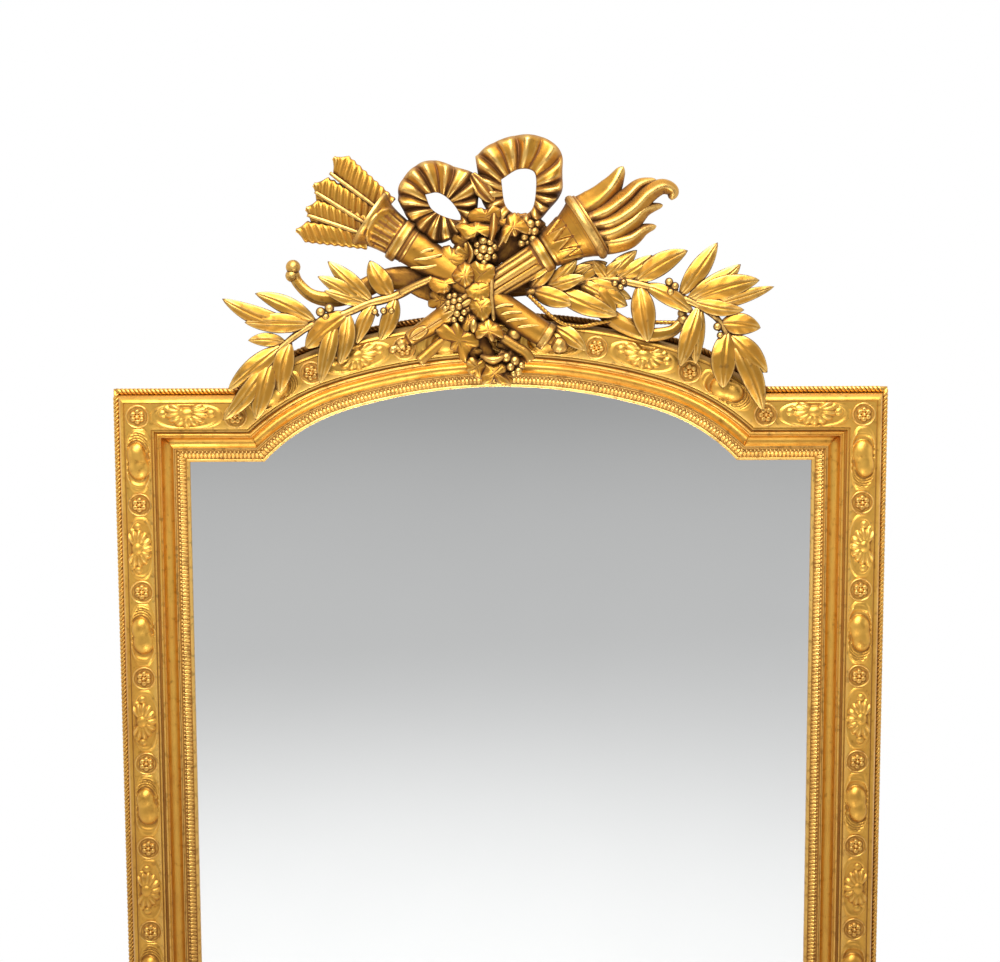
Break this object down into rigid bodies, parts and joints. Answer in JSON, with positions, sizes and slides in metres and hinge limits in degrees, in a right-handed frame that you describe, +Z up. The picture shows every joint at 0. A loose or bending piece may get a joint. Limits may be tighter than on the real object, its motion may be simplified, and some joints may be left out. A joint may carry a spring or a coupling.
{
  "type": "wall mirror",
  "caption": "Tall giltwood wall mirror with an arched head, carved frieze moulding and a crest of quiver, torch, bow, ribbons, laurel and fruit.",
  "frame": {"origin": "middle of the foot, on the wall plane behind the frame", "axes": "+Z up, +Y into the wall, +X to the right of someone who faces the mirror"},
  "size_m": [1.1, 0.106, 1.8068],
  "materials": {
    "gilding": "gold leaf over red-brown bole and gesso on carved wood, rubbed on the high points",
    "mirror_plate": "silvered plate glass",
    "pine": "bare pine, darkened with age",
    "backboard_pine": "sawn and planed pine boards, dusty",
    "oak": "bare oak, rubbed",
    "brass": "aged brass",
    "steel": "dull steel screws"
  },
  "bodies": {
    "root": {"archery_bow": "gilding", "arrows": "gilding", "backboard_centre": "backboard_pine", "backboard_left": "backboard_pine", "backboard_right": "backboard_pine", "base_header": "pine", "base_rail_bottom": "pine", "base_stile_left": "pine", "base_stile_right": "pine", "bow_string": "gilding", "corner_pegs": "oak", "crest_batten": "pine", "crest_packing": "pine", "crest_screws": "steel", "frieze_cabochons": "gilding", "frieze_rosettes": "gilding", "frieze_shells": "gilding", "fruit_garland": "gilding", "glazing_blocks": "pine", "hanger_plate_left": "brass", "hanger_plate_right": "brass", "hanger_screws": "steel", "laurel_left": "gilding", "laurel_right": "gilding", "mirror_glass": "mirror_plate", "moulding_arch": "gilding", "moulding_bottom": "gilding", "moulding_shoulder_left": "gilding", "moulding_shoulder_right": "gilding", "moulding_stile_left": "gilding", "moulding_stile_right": "gilding", "quiver": "gilding", "ribbon_left": "gilding", "ribbon_right": "gilding", "rope_bead_arch": "gilding", "rope_bead_bottom": "gilding", "rope_bead_shoulder_left": "gilding", "rope_bead_shoulder_right": "gilding", "rope_bead_stile_left": "gilding", "rope_bead_stile_right": "gilding", "sight_slip_arch": "gilding", "sight_slip_bottom": "gilding", "sight_slip_shoulder_left": "gilding", "sight_slip_shoulder_right": "gilding", "sight_slip_stile_left": "gilding", "sight_slip_stile_right": "gilding", "torch": "gilding", "torch_flame": "gilding", "turn_button_screws": "steel"},
    "button_left_low": {"turn_button_left_low": "oak"},
    "button_left_high": {"turn_button_left_high": "oak"},
    "button_right_low": {"turn_button_right_low": "oak"},
    "button_right_high": {"turn_button_right_high": "oak"},
    "button_foot_left": {"turn_button_foot_left": "oak"},
    "button_foot_right": {"turn_button_foot_right": "oak"},
    "ring_left": {"hanger_ring_left": "brass"},
    "ring_right": {"hanger_ring_right": "brass"}
  },
  "joints": [
    {"name": "button_left_low_turn", "type": "hinge", "parent": "root", "child": "button_left_low", "pos_m": [-0.474, -0.0053, 0.436], "axis": [0, -1, 0], "range_deg": [0, 90]},
    {"name": "button_left_high_turn", "type": "hinge", "parent": "root", "child": "button_left_high", "pos_m": [-0.474, -0.0053, 0.99], "axis": [0, -1, 0], "range_deg": [0, 90]},
    {"name": "button_right_low_turn", "type": "hinge", "parent": "root", "child": "button_right_low", "pos_m": [0.474, -0.0053, 0.436], "axis": [0, 1, 0], "range_deg": [0, 90]},
    {"name": "button_right_high_turn", "type": "hinge", "parent": "root", "child": "button_right_high", "pos_m": [0.474, -0.0053, 0.99], "axis": [0, 1, 0], "range_deg": [0, 90]},
    {"name": "button_foot_left_turn", "type": "hinge", "parent": "root", "child": "button_foot_left", "pos_m": [-0.18333, -0.0053, 0.076], "axis": [0, -1, 0], "range_deg": [0, 90]},
    {"name": "button_foot_right_turn", "type": "hinge", "parent": "root", "child": "button_foot_right", "pos_m": [0.18333, -0.0053, 0.076], "axis": [0, 1, 0], "range_deg": [0, 90]},
    {"name": "ring_left_swing", "type": "hinge", "parent": "root", "child": "ring_left", "pos_m": [-0.513, -0.0055, 1.12], "axis": [1, 0, 0], "range_deg": [0, 180]},
    {"name": "ring_right_swing", "type": "hinge", "parent": "root", "child": "ring_right", "pos_m": [0.513, -0.0055, 1.12], "axis": [1, 0, 0], "range_deg": [0, 180]}
  ]
}
